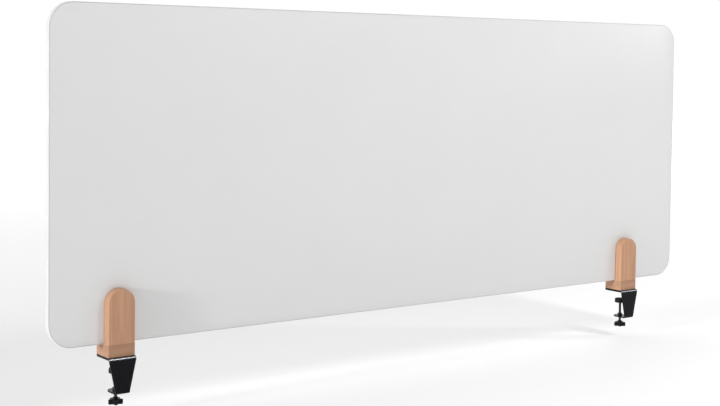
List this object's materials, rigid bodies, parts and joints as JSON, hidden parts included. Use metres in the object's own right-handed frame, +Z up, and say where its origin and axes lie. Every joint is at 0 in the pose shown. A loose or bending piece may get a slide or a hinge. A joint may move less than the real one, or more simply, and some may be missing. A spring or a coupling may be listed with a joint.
{
  "type": "desk privacy panel",
  "caption": "White writing board with rounded corners that stands in the slots of beech forks on black steel screw clamps, which grip the edge of a desk.",
  "frame": {"origin": "on the desk's top surface, at the desk's front edge, midway along the board", "axes": "+X along the board to the right as seen from outside the desk, +Y from the clamps' front plates over the desk, +Z up"},
  "size_m": [1.6, 0.054, 0.7105],
  "materials": {
    "white_lacquer": "gloss",
    "pale_edging": "satin",
    "honeycomb_core": "matte",
    "beech": "satin",
    "black_powder_coat": "satin",
    "black_plastic": "satin",
    "black_rubber": "matte",
    "blackened_steel": "satin",
    "zinc_screw": "satin"
  },
  "bodies": {
    "left_holder": {"left_bracket": "black_powder_coat", "left_base_block": "beech", "left_front_cheek": "beech", "left_rear_cheek": "beech", "left_wood_screw_1": "zinc_screw", "left_wood_screw_2": "zinc_screw", "left_wood_screw_3": "zinc_screw", "left_wood_screw_4": "zinc_screw", "left_desk_pad": "black_rubber", "left_weld_nut": "blackened_steel"},
    "board": {"board_core": "honeycomb_core", "board_front_sheet": "white_lacquer", "board_rear_sheet": "white_lacquer", "board_edge_trim": "pale_edging"},
    "right_holder": {"right_bracket": "black_powder_coat", "right_base_block": "beech", "right_front_cheek": "beech", "right_rear_cheek": "beech", "right_wood_screw_1": "zinc_screw", "right_wood_screw_2": "zinc_screw", "right_wood_screw_3": "zinc_screw", "right_wood_screw_4": "zinc_screw", "right_desk_pad": "black_rubber", "right_weld_nut": "blackened_steel"},
    "left_foot": {"left_pressure_pad": "black_plastic", "left_pad_cushion": "black_rubber"},
    "left_clamp_screw": {"left_spindle": "blackened_steel", "left_knob": "black_plastic"},
    "right_foot": {"right_pressure_pad": "black_plastic", "right_pad_cushion": "black_rubber"},
    "right_clamp_screw": {"right_spindle": "blackened_steel", "right_knob": "black_plastic"}
  },
  "joints": [
    {"name": "board_lift", "type": "slide", "parent": "left_holder", "child": "board", "axis": [0, 0, 1], "range_m": [0, 0.11]},
    {"name": "right_holder_slide", "type": "slide", "parent": "left_holder", "child": "right_holder", "axis": [1, 0, 0], "range_m": [-0.9, 0.09]},
    {"name": "left_spindle_feed", "type": "slide", "parent": "left_holder", "child": "left_foot", "axis": [0, 0, 1], "range_m": [-0.024, 0.0095]},
    {"name": "left_spindle_turn", "type": "hinge", "parent": "left_foot", "child": "left_clamp_screw", "pos_m": [-0.67, 0.026, -0.07], "axis": [0, 0, 1], "range_deg": [-8645, 3425]},
    {"name": "right_spindle_feed", "type": "slide", "parent": "right_holder", "child": "right_foot", "axis": [0, 0, 1], "range_m": [-0.024, 0.0095]},
    {"name": "right_spindle_turn", "type": "hinge", "parent": "right_foot", "child": "right_clamp_screw", "pos_m": [0.635, 0.026, -0.07], "axis": [0, 0, 1], "range_deg": [-8645, 3425]}
  ],
  "couplings": [
    {"joint": "left_spindle_turn", "follows": "left_spindle_feed", "rad_per_m": 6283.2},
    {"joint": "right_spindle_turn", "follows": "right_spindle_feed", "rad_per_m": 6283.2}
  ]
}
